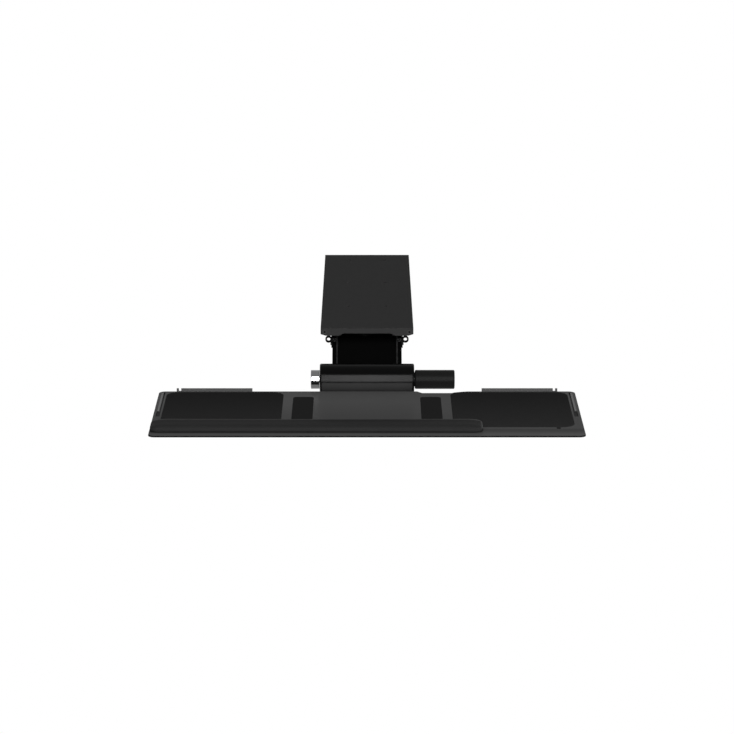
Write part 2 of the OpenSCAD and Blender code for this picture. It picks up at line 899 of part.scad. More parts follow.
// The spring's centre line: rear leg, turns and front leg, each point [x, y, z]
spring_count = spring_turns * spring_steps;
spring_path = concat(
  [[spring_start, leg_rear[0], leg_rear[1]]],
  [for (i = [0:spring_count])
    let (a = 90 + 360 * i / spring_steps)
    [spring_start + spring_pitch * i / spring_steps,
      rear_pivot[0] + spring_r * cos(a), rear_pivot[1] + spring_r * sin(a)]],
  [[spring_start + spring_pitch * spring_turns, leg_front[0], leg_front[1]]]
);

// Tangent of a path at one of its points
function along(path, i) = unit(path[min(i + 1, len(path) - 1)] - path[max(i - 1, 0)]);

// One ring of a tube around a path's point
function tube_ring(path, i, r, sides) =
  let (t = along(path, i), n = unit(cross(t, [1, 0, 0])), b = cross(t, n))
  [for (k = [0:sides - 1]) path[i] + r * (cos(360 * k / sides) * n + sin(360 * k / sides) * b)];

// A closed tube along a path
module tube(path, r, sides) {
  rings = len(path);
  points = [for (i = [0:rings - 1]) each tube_ring(path, i, r, sides)];
  walls = [for (i = [0:rings - 2], k = [0:sides - 1])
    let (a = i * sides + k, b = i * sides + (k + 1) % sides)
    each [[a, b, a + sides], [b, b + sides, a + sides]]];
  ends = [for (k = [1:sides - 2])
    each [[0, k + 1, k], [(rings - 1) * sides, (rings - 1) * sides + k, (rings - 1) * sides + k + 1]]];
  polyhedron(points, concat(walls, ends));
}

// Least gap between points that lie at least half a turn apart along the spring
spring_least_gap = min([for (i = [0:len(spring_path) - 1], j = [i + spring_steps / 2:len(spring_path) - 1])
  norm(spring_path[i] - spring_path[j])]) - 2 * wire_r;
echo(spring_least_gap = spring_least_gap);

module lift_spring() {
  color(steel) tube(spring_path, wire_r, spring_sides);
}

module right_lift_spring() {
  lift_spring();
}

module left_lift_spring() {
  mirror([1, 0, 0]) lift_spring();
}

// Arm and levelling link

// The raised ring on a lip of the arm, at its upper bend
module arm_boss() {
  foot = offset_point(arm_path, boss_step, arm_h / 2 - arm_t);
  up = unit(foot - arm_path[boss_step]);
  translate([arm_half - boss_side, foot[0], foot[1]])
    rotate([atan2(-up[0], up[1]), 0, 0])
      difference() {
        cylinder(r = boss_r, h = arm_t + boss_h);
        translate([0, 0, arm_t + boss_h - boss_dip]) cylinder(r = boss_dip_r, h = boss_dip + cut);
      }
}

module arm_channel() {
  color(arm_black) difference() {
    union() {
      both_sides() span_x(arm_inside, arm_half) path_strip(arm_path, arm_h);
      span_x(-arm_half, arm_half)
        side_clip(arm_web_front, arm_web_rear)
          path_band(arm_path, arm_h / 2 - arm_t, arm_h / 2);
      both_sides()
        span_x(arm_half - arm_lip, arm_half - arm_lip + arm_rib_w)
          side_clip(arm_web_front, arm_web_rear)
            path_band(arm_path, arm_h / 2 - arm_t, arm_h / 2 + arm_rib_h);
      both_sides() arm_boss();
    }
    span_x(-arm_half + arm_lip, arm_half - arm_lip)
      side_clip(arm_web_front - cut, arm_web_rear + cut)
        path_band(arm_path, arm_h / 2 - arm_field, arm_h / 2 + arm_rib_h + cut);
    for (p = [rear_pivot, front_pivot]) {
      bar_x(p, arm_bush_r, -arm_half - cut, arm_half + cut);
    }
    for (y = guide_screw_ys) {
      bar_x([y, guide_screw_z], guide_screw_r, -arm_half - cut, arm_half + cut);
    }
  }
}

module arm_bushes() {
  color(brass)
    for (p = [rear_pivot, front_pivot]) {
      both_sides() ring_x(p, pivot_r + pin_gap, arm_bush_r, arm_inside, arm_half);
    }
}

module right_cable_guide() {
  loop_z = rear_pivot[1] + loop_rise;
  color(shell_black) difference() {
    union() {
      span_x(arm_half, guide_x)
        round_rect(guide_y0, guide_y0 + guide_len, rear_pivot[1] - arm_h / 2 + guide_lift,
          rear_pivot[1] + arm_h / 2, guide_corner_r);
      span_y(guide_y0, guide_y0 + loop_len) translate([loop_x, loop_z]) circle(loop_r);
    }
    span_y(guide_y0 - cut, guide_y0 + loop_len + cut)
      translate([loop_x, loop_z]) circle(loop_bore_r);
    for (y = guide_screw_ys) {
      bar_x([y, guide_screw_z], guide_screw_r, arm_half - cut, guide_x + cut);
    }
  }
}

module left_cable_guide() {
  mirror([1, 0, 0]) right_cable_guide();
}

module cable_guide_screws() {
  color(steel)
    both_sides()
      for (y = guide_screw_ys) {
        translate([guide_x, y, guide_screw_z])
          rotate([0, 90, 0])
            pan_screw(guide_screw_r, guide_t + arm_t, screw_head_r, screw_head_h);
      }
}

module levelling_link() {
  color(arm_black) difference() {
    union() {
      both_sides() span_x(link_inside, link_outside) path_strip(link_path, link_h);
      span_x(-link_outside, link_outside)
        side_clip(link_web_front, link_web_rear)
          path_band(link_path, link_h / 2 - link_t, link_h / 2);
    }
    for (p = [rear_pivot, front_pivot]) {
      bar_x(p + link_drop, link_pin_r + pin_gap, -arm_half, arm_half);
    }
  }
}

// Head: casting, barrel shells and front pivots

module head_casting() {
  link_pivot = front_pivot + link_drop;
  lug_r = 9;
  link_lug_r = 7;
  outer_lug_r = 11;
  block_y0 = axis[0] + inner_r - 2;
  block_half = link_inside - link_side_gap;
  guide_half = drum_half + 2;
  guide_h = 2 * drive_pin_r + 9;
  color(shell_black) difference() {
    union() {
      span_x(-shell_half, shell_half) arc_wall(inner_r, barrel_r, casting_end, cover_rear);
      span_x(-saddle_half, saddle_half) {
        arc_wall(inner_r - tongue_gap - tongue_t, inner_r - tongue_gap, tongue_in, tongue_out);
        arc_wall(inner_r - tongue_gap - tongue_t, inner_r + tongue_gap, tongue_in, cover_rear - 1);
      }
      both_sides()
        span_x(cheek_in, cheek_out) {
          translate(axis) circle(cheek_r);
          arc_wall(0, inner_r - tongue_gap, casting_end, -casting_end);
          arc_wall(0, inner_r + tongue_gap, casting_end, cover_rear - 1);
        }
      span_x(-guide_half, guide_half)
        intersection() {
          translate(axis + [guide_in, -guide_h / 2]) square([barrel_r - guide_in, guide_h]);
          arc_wall(0, inner_r + tongue_gap, casting_end, cover_rear - 1);
        }
      span_x(-block_half, block_half) {
        translate([block_y0, link_pivot[1] - link_lug_r])
          square([front_pivot[0] - block_y0, link_offset + link_lug_r + lug_r]);
        translate(front_pivot) circle(lug_r);
        translate(link_pivot) circle(link_lug_r);
        translate(link_pivot) square([link_lug_r, link_offset]);
      }
      both_sides()
        span_x(ear_inside, ear_outside) {
          translate([block_y0, front_pivot[1] - outer_lug_r])
            square([front_pivot[0] - block_y0, 2 * outer_lug_r]);
          translate(front_pivot) circle(outer_lug_r);
        }
    }
    span_x(-shell_half, shell_half) {
      difference() {
        translate(axis) circle(inner_r - tongue_gap - tongue_t);
        sector(barrel_r, casting_end, -casting_end);
      }
    }
    bar_x(axis, bush_r, -barrel_half, barrel_half);
    translate([-nut_back - drive_pin_r - pin_slot_gap, axis[0], axis[1] - drive_pin_r - pin_slot_gap])
      cube([nut_back + nut_ahead + 2 * drive_pin_r + 2 * pin_slot_gap,
        drive_pin_end + 1, 2 * drive_pin_r + 2 * pin_slot_gap]);
    bar_x(front_pivot, pivot_r, -arm_half, arm_half);
    bar_x(link_pivot, link_pin_r, -arm_half, arm_half);
    cover_screw_places() cylinder(r = screw_r, h = cover_screw_cut, center = true);
  }
}

// Places on the barrel's outer face, with +Z pointing out of it
module cover_screw_places() {
  for (x = [-cover_screw_x, cover_screw_x]) {
    translate([x, axis[0], axis[1]])
      rotate([cover_screw_angle - 90, 0, 0])
        translate([0, 0, barrel_r]) children();
  }
}

module barrel_cover() {
  color(shell_black) difference() {
    span_x(-shell_half, shell_half) arc_wall(inner_r, barrel_r, cover_rear, cover_front);
    cover_screw_places() cylinder(r = screw_r, h = cover_screw_cut, center = true);
  }
}

module cover_screws() {
  color(steel)
    cover_screw_places()
      pan_screw(screw_r, barrel_wall + tongue_t, screw_head_r, screw_head_h);
}

module right_barrel_end() {
  color(shell_black) difference() {
    turned() rounded_bar(barrel_r, shell_half, barrel_half, 0, end_round);
    bar_x(axis, bush_r, shell_half - cut, barrel_half + cut);
  }
}

module left_barrel_end() {
  mirror([1, 0, 0]) right_barrel_end();
}

module dial_bushes() {
  color(nylon)
    both_sides() ring_x(axis, shaft_r + pin_gap, bush_r, bush_start, barrel_half);
}

module front_pivot_pin() {
  pivot_pin(front_pivot);
}

module front_pivot_clips() {
  pivot_clips(front_pivot);
}

module front_friction_washers() {
  friction_washers(front_pivot);
}

module link_front_pin() {
  color(steel) bar_x(front_pivot + link_drop, link_pin_r, -link_outside, link_outside);
}

// Dial and tilt drive

dial_x0 = barrel_half + dial_gap;
dial_x1 = dial_x0 + dial_len;
cap_gap = 0.5;
cap_x1 = -barrel_half - cap_gap;
cap_x0 = cap_x1 - cap_len;
shaft_end_wall = 4;
neck_gap = 0.3;

module dial_shaft() {
  color(steel) turned() {
    translate([0, cap_x0 + shaft_end_wall])
      square([shaft_r, dial_x1 - cap_x0 - 2 * shaft_end_wall]);
    translate([0, -thread_half]) square([thread_r, 2 * thread_half]);
  }
}

module tilt_dial() {
  color(shell_black) difference() {
    turned() {
      rounded_bar(dial_r, dial_x0, dial_x1, dial_round, dial_round);
      translate([0, barrel_half + neck_gap]) square([dial_neck_r, dial_gap + dial_round]);
    }
    bar_x(axis, shaft_r, barrel_half, dial_x1 - shaft_end_wall);
  }
}

module shaft_end_cap() {
  color(chrome) difference() {
    turned() rounded_bar(cap_r, cap_x0, cap_x1, cap_round, cap_round);
    bar_x(axis, shaft_r, cap_x0 + shaft_end_wall, cap_x1 + cut);
  }
}

module tilt_nut() {
  color(brass) difference() {
    union() {
      bar_x(axis, nut_r, -nut_len / 2, nut_len / 2);
      translate([0, axis[0] + thread_r + 2, axis[1]])
        rotate([-90, 0, 0])
          cylinder(r = drive_pin_r, h = drive_pin_end - thread_r - 2);
    }
    bar_x(axis, thread_r + pin_gap, -nut_len, nut_len);
  }
}

// Tray

module tilt_saddle() {
  wedge_h = 10;
  color(arm_black) difference() {
    union() {
      span_x(-saddle_half, saddle_half) {
        arc_wall(saddle_r - saddle_wall, saddle_r, saddle_start, saddle_end);
        difference() {
          translate([rear_y + 1, plate_bottom - flange_t])
            square([flange_y1 - rear_y - 1, wedge_h]);
          translate(axis) circle(saddle_r - saddle_wall / 2);
        }
      }
      span_x(-saddle_half, saddle_half)
        translate([flange_y0, plate_bottom - flange_t]) square([flange_y1 - flange_y0, flange_t]);
      both_sides()
        span_x(saddle_ear_in, saddle_ear_out) {
          translate(axis) circle(saddle_ear_r);
          arc_wall(0, saddle_r - saddle_wall / 2, saddle_start + 10, saddle_end - 5);
        }
      span_x(-drum_half, drum_half) {
        translate(axis) circle(drum_out);
        arc_wall(drum_out - 1, saddle_r - saddle_wall / 2, saddle_start + 10, saddle_end - 15);
      }
    }
    bar_x(axis, bush_r + pin_gap, -barrel_half, -drum_half - cut);
    bar_x(axis, bush_r + pin_gap, drum_half + cut, barrel_half);
    bar_x(axis, drum_in, -drum_half - cut, drum_half + cut);
    translate([slot_mid * nut_per_deg, axis[0], axis[1] + slot_mid * slot_per_deg])
      rotate([0, -slot_lean, 0])
        translate([-slot_run / 2, 0, -drive_pin_r - drum_slot_gap])
          cube([slot_run, drum_out + cut, 2 * drive_pin_r + 2 * drum_slot_gap]);
    for (x = [-bolt_x, bolt_x], y = bolt_ys) {
      translate([x, y, plate_bottom - flange_t - cut]) cylinder(r = bolt_r, h = flange_t + 2 * cut);
    }
  }
}

module saddle_bolts() {
  color(steel)
    for (x = [-bolt_x, bolt_x], y = bolt_ys) {
      translate([x, y, plate_bottom - flange_t])
        mirror([0, 0, 1]) pan_screw(bolt_r, flange_t + plate_t, bolt_head_r, bolt_head_h);
    }
}

module mount_plate() {
  color(arm_black) difference() {
    span_z(plate_bottom, board_bottom)
      round_rect(-plate_w / 2, plate_w / 2, plate_y0, plate_y1, plate_corner_r);
    for (x = [-bolt_x, bolt_x], y = bolt_ys) {
      translate([x, y, plate_bottom - cut]) cylinder(r = bolt_r, h = plate_t + 2 * cut);
    }
    for (x = [-plate_screw_x, plate_screw_x], y = plate_screw_ys) {
      translate([x, y, plate_bottom - cut]) cylinder(r = plate_screw_r, h = plate_t + 2 * cut);
    }
  }
}

module mount_plate_screws() {
  color(steel)
    for (x = [-plate_screw_x, plate_screw_x], y = plate_screw_ys) {
      translate([x, y, plate_bottom])
        mirror([0, 0, 1])
          pan_screw(plate_screw_r, plate_t + plate_screw_bite, plate_screw_head_r, plate_screw_head_h);
    }
}

// The finger cut-out's plan, grown by margin away from the rear edge
cutout_bow = 0.6;

module cutout_plan(margin) {
  steps = 12;
  depth = cutout_d + margin;
  ramp_in = [for (i = [0:steps])
    [cutout_x0 - margin + cutout_run_in * i / steps, rear_y - depth * (1 - cos(180 * i / steps)) / 2]];
  ramp_out = [for (i = [0:steps])
    [cutout_x1 + margin - cutout_run_out * (1 - i / steps),
      rear_y - depth * (1 - pow(i / steps, cutout_bow))]];
  polygon(concat(ramp_in, ramp_out, [
    [cutout_x1 + margin, rear_y + cut], [cutout_x0 - margin, rear_y + cut]
  ]));
}

// One slice of the board, inset all round
module board_slice(inset, z) {
  slice = 0.01;
  translate([0, 0, z - slice])
    linear_extrude(slice)
      round_rect(-side_x + inset, side_x - inset, front_y + inset, rear_y - inset,
        board_corner_r - inset, $fn = 48);
}

// The board's flat underside, which the bevel leaves
module board_sole(z) {
  slice = 0.01;
  translate([0, 0, z])
    linear_extrude(slice)
      round_rect(-side_x + bevel_w, side_x - bevel_w, front_y + bevel_w, rear_y - board_chamfer,
        sole_corner_r, $fn = 48);
}

module pad_plan(gap) {
  difference() {
    round_rect(pad_inner + gap, pad_outer - gap, pad_y0 + gap, pad_y1 - gap, pad_corner_r);
    cutout_plan(pad_cutout + gap);
  }
}

module plain_pad_plan(gap) {
  mirror([1, 0, 0])
    round_rect(pad_inner + gap, pad_outer - gap, pad_y0 + gap, pad_y1 - gap, pad_corner_r);
}

module strip_plan(gap) {
  round_rect(strip_inner + gap, strip_outer - gap, pad_y0 + gap, strip_y1 - gap, strip_corner_r);
}

module groove_plan() {
  translate([groove_inner, groove_y0]) square([groove_w, groove_len]);
}

sole_corner_r = board_corner_r;

module tray_board() {
  lean = board_edge_r * (1 - cos(45));
  color(deck_grey) difference() {
    hull() {
      board_slice(board_edge_r, deck_z);
      board_slice(lean, deck_z - lean);
      board_slice(0, deck_z - board_edge_r);
      board_slice(0, board_bottom + bevel_h);
      board_sole(board_bottom);
    }
    span_z(board_bottom - cut, deck_z + cut) cutout_plan(0);
    span_z(deck_z - pad_recess, deck_z + cut) {
      pad_plan(0);
      plain_pad_plan(0);
      both_sides() strip_plan(0);
    }
    span_z(deck_z - groove_depth, deck_z + cut) both_sides() groove_plan();
    for (x = peg_xs, side = [-1, 1]) {
      translate([side * x, peg_y, board_bottom - cut])
        cylinder(r = peg_r + peg_gap, h = board_t + 2 * cut);
    }
    for (x = [-plate_screw_x, plate_screw_x], y = plate_screw_ys) {
      translate([x, y, board_bottom - cut]) cylinder(r = plate_screw_r, h = plate_screw_bite + cut);
    }
    both_sides()
      for (x = stop_screw_xs) {
        translate([x, stop_screw_y, board_bottom - cut]) cylinder(r = screw_r, h = stop_screw_bite + cut);
      }
  }
}

module right_mouse_pad() {
  color(pad_black) span_z(deck_z - pad_recess, inlay_top) pad_plan(inlay_gap);
}

module left_mouse_pad() {
  color(pad_black) span_z(deck_z - pad_recess, inlay_top) plain_pad_plan(inlay_gap);
}

module right_grip_strip() {
  color(pad_black) span_z(deck_z - pad_recess, inlay_top) strip_plan(inlay_gap);
}

module left_grip_strip() {
  mirror([1, 0, 0]) right_grip_strip();
}

// Palm rest

module palm_rest_base() {
  inset = palm_base_inset;
  color(rest_black) {
    span_z(inlay_top, base_top)
      round_rect(palm_x0 + inset, palm_x1 - inset, palm_y0 + inset, palm_y1 - inset,
        palm_corner_r - inset);
    for (x = peg_xs) {
      translate([x, peg_y, deck_z - peg_len]) cylinder(r = peg_r, h = peg_len + inlay_proud + 0.1);
    }
  }
}

// The cushion's rim: long sides cut into steps, and round corners
rim_steps = 10;
corner_steps = 5;
cushion_round = 5;

// Half sizes and corner radius of a rim that is inset all round
function rim_half(inset) = [palm_len / 2 - inset, palm_d / 2 - inset];
function rim_corner(inset) = max(palm_corner_r - inset, 0.5);

// A corner of the rim, turning from angle a
function rim_arc(inset, sx, sy, a) =
  let (h = rim_half(inset), r = rim_corner(inset))
  [for (i = [0:corner_steps])
    [sx * (h[0] - r) + r * cos(a + 90 * i / corner_steps),
      sy * (h[1] - r) + r * sin(a + 90 * i / corner_steps)]];

// Points between the corners on a long side
function rim_side(inset, sy, dir) =
  let (h = rim_half(inset), r = rim_corner(inset))
  [for (i = [1:rim_steps - 1])
    let (x = dir * (h[0] - r) * (2 * i / rim_steps - 1))
    [x, sy * (h[1] - palm_draw * pow(cos(90 * x / h[0]), 0.5) * h[1] / palm_d)]];

function rim(inset, z) =
  [for (p = concat(
    rim_arc(inset, 1, -1, -90), rim_arc(inset, 1, 1, 0), rim_side(inset, 1, -1),
    rim_arc(inset, -1, 1, 90), rim_arc(inset, -1, -1, 180), rim_side(inset, -1, 1)))
    [p[0] + palm_mid[0], p[1] + palm_mid[1], z]];

// Height of the cushion's skin at an inset from its widest rim
function crown(inset) =
  let (rise = palm_h - inlay_proud - palm_base_t, shoulder = 0.82 * rise,
    edge = min(inset / cushion_round, 1), mid = inset / (palm_d / 2))
  base_top + shoulder * (0.28 + 0.72 * sqrt(1 - pow(1 - edge, 2)))
    + (rise - shoulder) * (1 - pow(1 - mid, 2));

cushion_insets = [0, 0.4, 1.2, 2.4, 3.8, 5, 8, 12, 17, 22, 24.2];
cushion_rims = concat(
  [rim(palm_base_inset, base_top), rim(0.5, base_top + 1)],
  [for (inset = cushion_insets) rim(inset, crown(inset))]
);

module palm_rest_cushion() {
  count = len(cushion_rims[0]);
  levels = len(cushion_rims);
  points = [for (level = cushion_rims) each level];
  walls = [for (i = [0:levels - 2], k = [0:count - 1])
    let (a = i * count + k, b = i * count + (k + 1) % count)
    each [[a, a + count, b], [b, a + count, b + count]]];
  top = (levels - 1) * count;
  low_mid = len(points);
  ends = [for (k = [0:count - 1])
    each [[low_mid, k, (k + 1) % count], [low_mid + 1, top + (k + 1) % count, top + k]]];
  middles = [[palm_mid[0], palm_mid[1], base_top], [palm_mid[0], palm_mid[1], crown(palm_d / 2)]];
  color(rest_black) polyhedron(concat(points, middles), concat(walls, ends));
}

// Rear stops and side rails

module right_rear_stop() {
  foot_z = board_bottom - stop_foot_t;
  color(stop_grey) difference() {
    union() {
      translate([stop_inner, rear_y, foot_z])
        cube([stop_len, stop_t, deck_z + stop_rise - foot_z]);
      translate([stop_inner, rear_y - stop_foot_d, foot_z])
        cube([stop_len, stop_foot_d + stop_t, stop_foot_t]);
    }
    translate([stop_outer - notch_post - notch_w, rear_y - cut, deck_z])
      cube([notch_w, stop_t + 2 * cut, stop_rise + cut]);
    for (x = stop_screw_xs) {
      translate([x, stop_screw_y, foot_z - cut]) cylinder(r = screw_r, h = stop_foot_t + 2 * cut);
    }
  }
}

module left_rear_stop() {
  mirror([1, 0, 0]) right_rear_stop();
}

module rear_stop_screws() {
  color(steel)
    both_sides()
      for (x = stop_screw_xs) {
        translate([x, stop_screw_y, board_bottom - stop_foot_t])
          mirror([0, 0, 1])
            pan_screw(screw_r, stop_foot_t + stop_screw_bite, screw_head_r, screw_head_h);
      }
}

module right_side_rail() {
  color(rail_grey)
    translate([groove_outer - rail_w, groove_y1 - rail_len, deck_z - groove_depth])
      cube([rail_w, rail_len, groove_depth - rail_below]);
}

module left_side_rail() {
  mirror([1, 0, 0]) right_side_rail();
}

track_channel();
front_end_cap();
rear_end_cap();
front_bumpers();
rear_bumpers();
carriage_plate();
glide_blocks();
swivel_disc();
swivel_stud();
swivel_washer();
swivel_nut();
swivel_bracket();
rear_pivot_pin();
rear_pivot_clips();
rear_friction_washers();
link_rear_pin();
left_lift_spring();
right_lift_spring();
arm_channel();
arm_bushes();
left_cable_guide();
right_cable_guide();
cable_guide_screws();
levelling_link();
head_casting();
barrel_cover();
cover_screws();
left_barrel_end();
right_barrel_end();
dial_bushes();
front_pivot_pin();
front_pivot_clips();
front_friction_washers();
link_front_pin();
dial_shaft();
tilt_dial();
shaft_end_cap();
tilt_nut();
tilt_saddle();
saddle_bolts();
mount_plate();
mount_plate_screws();
tray_board();
left_mouse_pad();
right_mouse_pad();
left_grip_strip();
right_grip_strip();
palm_rest_base();
palm_rest_cushion();
left_rear_stop();
right_rear_stop();
rear_stop_screws();
left_side_rail();
right_side_rail();
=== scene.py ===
import math

import bmesh
import bpy
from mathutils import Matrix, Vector

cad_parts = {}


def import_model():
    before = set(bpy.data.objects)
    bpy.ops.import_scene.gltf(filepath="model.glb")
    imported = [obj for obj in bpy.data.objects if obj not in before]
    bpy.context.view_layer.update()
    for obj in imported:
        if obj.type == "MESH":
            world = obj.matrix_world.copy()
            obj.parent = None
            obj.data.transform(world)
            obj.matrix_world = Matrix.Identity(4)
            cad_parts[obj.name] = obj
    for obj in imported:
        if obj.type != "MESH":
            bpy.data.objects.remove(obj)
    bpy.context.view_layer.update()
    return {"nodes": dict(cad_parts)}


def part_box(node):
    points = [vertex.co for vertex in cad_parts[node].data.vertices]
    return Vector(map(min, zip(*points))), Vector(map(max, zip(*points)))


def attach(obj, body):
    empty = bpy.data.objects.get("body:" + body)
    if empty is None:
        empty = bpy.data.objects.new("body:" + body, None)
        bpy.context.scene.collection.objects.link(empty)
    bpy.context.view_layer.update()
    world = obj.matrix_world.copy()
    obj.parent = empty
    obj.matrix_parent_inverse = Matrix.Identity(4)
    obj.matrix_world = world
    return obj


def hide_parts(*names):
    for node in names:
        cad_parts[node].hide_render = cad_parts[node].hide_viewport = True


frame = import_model()
nodes = frame["nodes"]

# Lengths are in metres, angles in degrees and powers in watts. Colours are linear, or grey levels to 255.

# Camera: solved from the board's corners in the photograph. Lens and sensor are in millimetres
CAMERA_PLACE = (0.0, -4.6421, 1.0889)
CAMERA_PITCH = 75.82
CAMERA_LENS = 148.12
SENSOR = 36.0

# Stage: the floor, the world's fill light, and each lamp's place, size and power
WHITE = (1, 1, 1, 1)
FLOOR_COLOUR = (0.85, 0.85, 0.85, 1)
FLOOR_Z = -0.72
FLOOR_HALF = 8.0
WORLD_FILL = 0.4
LAMP_TARGET = (0, -0.25, -0.06)
LAMPS = {
    "front_strip": ((0, -3.19, 1.135), (0.3, 2.98), 133),
    "right_soft": ((3.0, -0.9, 0.12), (1.2, 1.2), 70),
}

# Palm rest: (inset, rise) of its rings from the base to the crown
COVER_RINGS = [
    (0.0004, 0.0), (0.0001, 0.0003), (0.0, 0.0015), (0.0, 0.0034), (0.0001, 0.0045), (0.0006, 0.0056),
    (0.0016, 0.0066), (0.0032, 0.0073), (0.0055, 0.0077), (0.009, 0.0079), (0.0135, 0.0081),
    (0.0185, 0.0082), (0.0225, 0.0082),
]
# Its corners seen from above and the least that an inset leaves of them, how much rounder its ends are, how
# far its left end is tucked in, and how far its long sides draw in
COVER_CORNER = 0.012
COVER_CORNER_LEAST = 0.001
COVER_END = 2.0
COVER_TUCK = 0.001
COVER_DRAW = 0.0006
# Its filling: up to what rise the cover is glued to the base, the pressure, how far that may push the cover,
# and for how many frames
COVER_GLUED = 0.0035
COVER_PRESSURE = 4.0
COVER_PUSH = 0.0006
COVER_FRAMES = 20
# Points along its outline
CORNER_STEPS = 8
SIDE_STEPS = 80
END_STEPS = 5

# Pads and strips that lie in the board: piece, node, finish and slot
INLAYS = [
    ("left_pad_cloth", "left_mouse_pad", "pad", "pad"),
    ("right_pad_cloth", "right_mouse_pad", "pad", "pad"),
    ("left_grip_rubber", "left_grip_strip", "grip", "grip_rubber"),
    ("right_grip_rubber", "right_grip_strip", "grip", "grip_rubber"),
]
# Their rolled rims: distance from the edge and drop below the middle
PAD_RIM = [(0.0, 0.00016), (0.0004, 0.00006), (0.001, 0.00001), (0.002, 0.0)]

# How close points have to lie to count as one and faces as level, the digits to which sums of X have to agree
# to count as equal, and the Z of a normal that faces up
SAME_POINT = 1e-6
SAME_LEVEL = 1e-5
SAME_DIGITS = 7
FACES_UP = 0.9

# Each of the pairs below is a soft edge of a patch of colour: where its share is 0 and where it is 1

# The board: its top, the depths between which the routed core gives way to the laminate, the Z of its normal
# on its top and on its underside, and along Y where shade is painted on it towards the palm rest and where it
# is darker in a band before the pads
DECK_Z = -0.078
ROUTED_DEPTHS = (0.0014, 0.001)
DECK_UP = (0.8, 0.95)
DECK_DOWN = (-0.6, -0.9)
DECK_PAINTED_SHADE = ((-0.24, -0.32), (-0.424, -0.411))
DECK_DARK_BAND = ((-0.388, -0.395), (-0.415, -0.402))

# The pads: where their painted shade at the rear gives way to a paler front, along Y
PAD_PAINTED_SHADE = (-0.2, -0.39)

# The palm rest: painted shade in a crease beside its rim, and a painted highlight on the rim at its rear, at
# its right end and from what height
CREASE_PAINTED_SHADE = ((-0.397, -0.386), (-0.376, -0.379))
HIGHLIGHT_REAR = (-0.378, -0.3745)
HIGHLIGHT_RIGHT = (0.1655, 0.1675)
HIGHLIGHT_RISE = (-0.0735, -0.072)

# The arm: ribs along its top, with a painted highlight that is stronger in some patches, and rings at its
# upper bend that are paler on top
ARM_UP = (0.3, 0.5)
RIB_X = 0.0467
RIB_HALF = 0.0012
RIB_EDGE = (RIB_HALF, RIB_HALF * 0.7)
RIB_PATCH = 0.012
RIB_NOISE = (0.3, 0.5)
RIB_LEAST = 0.5
BOSS_X, BOSS_Y = 0.0505, -0.0595
BOSS_R, BOSS_DIP_R = 0.0029, 0.0016
BOSS_EDGES = ((BOSS_DIP_R * 0.9, BOSS_DIP_R), (BOSS_R * 1.05, BOSS_R * 0.95))

# The end caps: painted shade in their dimples and a painted highlight round them
DIMPLE_X, DIMPLE_Z = 0.0658, -0.006
DIMPLE_R = 0.0018
DIMPLE_HIGHLIGHT = (DIMPLE_R * 1.8, DIMPLE_R * 1.5)
DIMPLE_SHADE = (DIMPLE_R * 1.1, DIMPLE_R * 0.9)

# Every finish: the share of its pattern in its colour, beside soft blotches, the samples of its rounded edges,
# and where these are worn: how the rounded normal leans from the face's, and the size and noise of the patches
PATTERN_SHARE = 0.6
EDGE_SAMPLES = 4
WORN_LEAN = (0.995, 0.9)
WORN_PATCH = 0.006
WORN_NOISE = (0.42, 0.62)

# Names of the nodes that share each finish
FINISHES = {
    "track_steel": ["track_channel"],
    "black_steel": ["swivel_bracket", "levelling_link", "mount_plate"],
    "arm_steel_painted_shade": ["arm_channel"],
    "dark_steel": ["carriage_plate"],
    "bare_steel": [
        "swivel_stud", "swivel_washer", "swivel_nut", "rear_pivot_clips", "link_rear_pin",
        "front_pivot_pin", "front_pivot_clips", "link_front_pin", "dial_shaft", "saddle_bolts",
        "mount_plate_screws",
    ],
    "spring_steel": ["left_lift_spring", "right_lift_spring"],
    "black_screw": ["cable_guide_screws", "cover_screws", "rear_stop_screws", "rear_pivot_pin"],
    "cap_plastic": ["front_end_cap", "rear_end_cap"],
    "black_plastic": ["left_cable_guide", "right_cable_guide"],
    "base_plastic": ["palm_rest_base"],
    "barrel_plastic": ["barrel_cover", "left_barrel_end", "right_barrel_end"],
    "dial_plastic": ["tilt_dial"],
    "casting": ["head_casting", "tilt_saddle"],
    "chrome": ["shaft_end_cap"],
    "brass": ["arm_bushes", "tilt_nut"],
    "nylon": ["glide_blocks"],
    "black_nylon": ["swivel_disc", "dial_bushes", "rear_friction_washers", "front_friction_washers"],
    "rubber": ["front_bumpers", "rear_bumpers"],
    "board": ["tray_board"],
    "stop": ["left_rear_stop", "right_rear_stop"],
    "rail": ["left_side_rail", "right_side_rail"],
}


def grey(level, warm=0.0):
    """A colour from an sRGB level of 0 to 255; warm moves it from blue to red."""
    c = level / 255
    linear = c / 12.92 if c <= 0.04045 else ((c + 0.055) / 1.055) ** 2.4
    return (linear * (1 + warm), linear, linear * (1 - warm), 1.0)


# Node helpers


def add(tree, kind, **sockets):
    """A node with some of its inputs set by name; an underscore stands for a space."""
    made = tree.nodes.new(kind)
    for name, value in sockets.items():
        made.inputs[name.replace("_", " ")].default_value = value
    return made


def math_node(tree, operation, a, b=None, clamp=False):
    """The result of an operation on one or two sockets or numbers."""
    made = tree.nodes.new("ShaderNodeMath")
    made.operation = operation
    made.use_clamp = clamp
    for place, value in ((0, a), (1, b)):
        if isinstance(value, (int, float)):
            made.inputs[place].default_value = value
        elif value is not None:
            tree.links.new(value, made.inputs[place])
    return made.outputs[0]


def product(tree, first, *others):
    """Some shares or heights multiplied."""
    for other in others:
        first = math_node(tree, "MULTIPLY", first, other)
    return first


def weighted(tree, a, b, share, clamp=False):
    """A share of one height and the rest of another."""
    return math_node(tree, "ADD", product(tree, a, share), product(tree, b, 1 - share), clamp)


def object_axis(tree, axis, source="Object"):
    """One of the object's own coordinates, or with Normal as the source one of its normal's."""
    place = add(tree, "ShaderNodeTexCoord")
    apart = add(tree, "ShaderNodeSeparateXYZ")
    tree.links.new(place.outputs[source], apart.inputs[0])
    return apart.outputs[axis]


